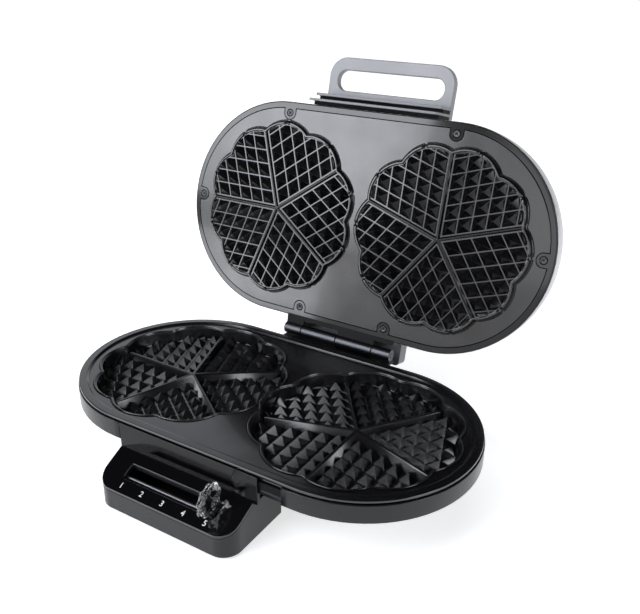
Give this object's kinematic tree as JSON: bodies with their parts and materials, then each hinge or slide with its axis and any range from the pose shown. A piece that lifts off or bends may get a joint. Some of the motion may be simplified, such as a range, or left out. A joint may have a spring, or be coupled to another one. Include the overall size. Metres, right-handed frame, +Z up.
{
  "type": "double waffle maker",
  "caption": "Countertop waffle maker with a long oval hinged lid, heart-flower baking plates with pyramid grids, a front loop handle and a front slide control.",
  "frame": {"origin": "on the table, under the centre of the part's box at rest (lid open on its stop)", "axes": "+Z up, +X along the long side to the cook's right, -Y towards the cook"},
  "size_m": [0.3682, 0.3408, 0.3057],
  "materials": {
    "base_shell": "satin",
    "bottom_pan": "satin",
    "lower_baking_plate": "cast, black non-stick coating, satin gloss",
    "lower_heater_left": "drawn, bare",
    "lower_heater_right": "drawn, bare",
    "lower_shield_left": "rolled sheet",
    "lower_shield_right": "rolled sheet",
    "plate_thermostat": "steatite, matt",
    "thermal_cutout": "steatite, matt",
    "control_housing": "satin",
    "control_fascia": "satin",
    "control_panel": "high gloss",
    "module_cover": "satin",
    "guide_rod": "drawn, bare",
    "rod_holder_left": "satin",
    "rod_holder_right": "satin",
    "slide_thermostat": "steatite, matt",
    "terminal_block": "steatite, matt",
    "hinge_base_leaf": "black enamel, satin",
    "hinge_pin": "drawn, bare",
    "hinge_screw_left": "drawn, bare",
    "hinge_screw_right": "drawn, bare",
    "rear_stop": "satin",
    "cord_gland": "matt",
    "foot_front_left": "matt",
    "foot_front_right": "matt",
    "foot_rear_left": "matt",
    "foot_rear_right": "matt",
    "upper_baking_plate": "cast, black non-stick coating, satin gloss",
    "lid_frame": "satin",
    "lid_dome": "fine brushed, clear lacquer",
    "upper_heater_left": "drawn, bare",
    "upper_heater_right": "drawn, bare",
    "upper_shield_left": "rolled sheet",
    "upper_shield_right": "rolled sheet",
    "handle_loop": "satin",
    "handle_mount": "satin",
    "handle_screw_left": "drawn, bare",
    "handle_screw_right": "drawn, bare",
    "hinge_lid_leaf": "black enamel, satin",
    "lid_screw_left": "drawn, bare",
    "lid_screw_right": "drawn, bare",
    "hinge_cover": "satin",
    "plate_screw_front_left": "satin",
    "plate_screw_front_right": "satin",
    "plate_screw_rear_left": "satin",
    "plate_screw_rear_right": "satin",
    "plate_screw_left_end": "satin",
    "plate_screw_right_end": "satin",
    "slider_carriage": "satin",
    "slider_knob": "clear moulded, polished"
  },
  "bodies": {
    "base": {"base_shell": "base_shell", "bottom_pan": "bottom_pan", "lower_baking_plate": "lower_baking_plate", "lower_heater_left": "lower_heater_left", "lower_heater_right": "lower_heater_right", "lower_shield_left": "lower_shield_left", "lower_shield_right": "lower_shield_right", "plate_thermostat": "plate_thermostat", "thermal_cutout": "thermal_cutout", "control_housing": "control_housing", "control_fascia": "control_fascia", "control_panel": "control_panel", "module_cover": "module_cover", "guide_rod": "guide_rod", "rod_holder_left": "rod_holder_left", "rod_holder_right": "rod_holder_right", "slide_thermostat": "slide_thermostat", "terminal_block": "terminal_block", "hinge_base_leaf": "hinge_base_leaf", "hinge_pin": "hinge_pin", "hinge_screw_left": "hinge_screw_left", "hinge_screw_right": "hinge_screw_right", "rear_stop": "rear_stop", "cord_gland": "cord_gland", "foot_front_left": "foot_front_left", "foot_front_right": "foot_front_right", "foot_rear_left": "foot_rear_left", "foot_rear_right": "foot_rear_right"},
    "lid": {"upper_baking_plate": "upper_baking_plate", "lid_frame": "lid_frame", "lid_dome": "lid_dome", "upper_heater_left": "upper_heater_left", "upper_heater_right": "upper_heater_right", "upper_shield_left": "upper_shield_left", "upper_shield_right": "upper_shield_right", "handle_loop": "handle_loop", "handle_mount": "handle_mount", "handle_screw_left": "handle_screw_left", "handle_screw_right": "handle_screw_right", "hinge_lid_leaf": "hinge_lid_leaf", "lid_screw_left": "lid_screw_left", "lid_screw_right": "lid_screw_right", "hinge_cover": "hinge_cover", "plate_screw_front_left": "plate_screw_front_left", "plate_screw_front_right": "plate_screw_front_right", "plate_screw_rear_left": "plate_screw_rear_left", "plate_screw_rear_right": "plate_screw_rear_right", "plate_screw_left_end": "plate_screw_left_end", "plate_screw_right_end": "plate_screw_right_end"},
    "slider": {"slider_carriage": "slider_carriage", "slider_knob": "slider_knob"}
  },
  "joints": [
    {"name": "lid_hinge", "type": "hinge", "parent": "base", "child": "lid", "pos_m": [0, 0.07422, 0.062], "axis": [1, 0, 0], "range_deg": [0, 103.8]},
    {"name": "temperature_slide", "type": "slide", "parent": "base", "child": "slider", "axis": [1, 0, 0], "range_m": [-0.082, 0]}
  ]
}
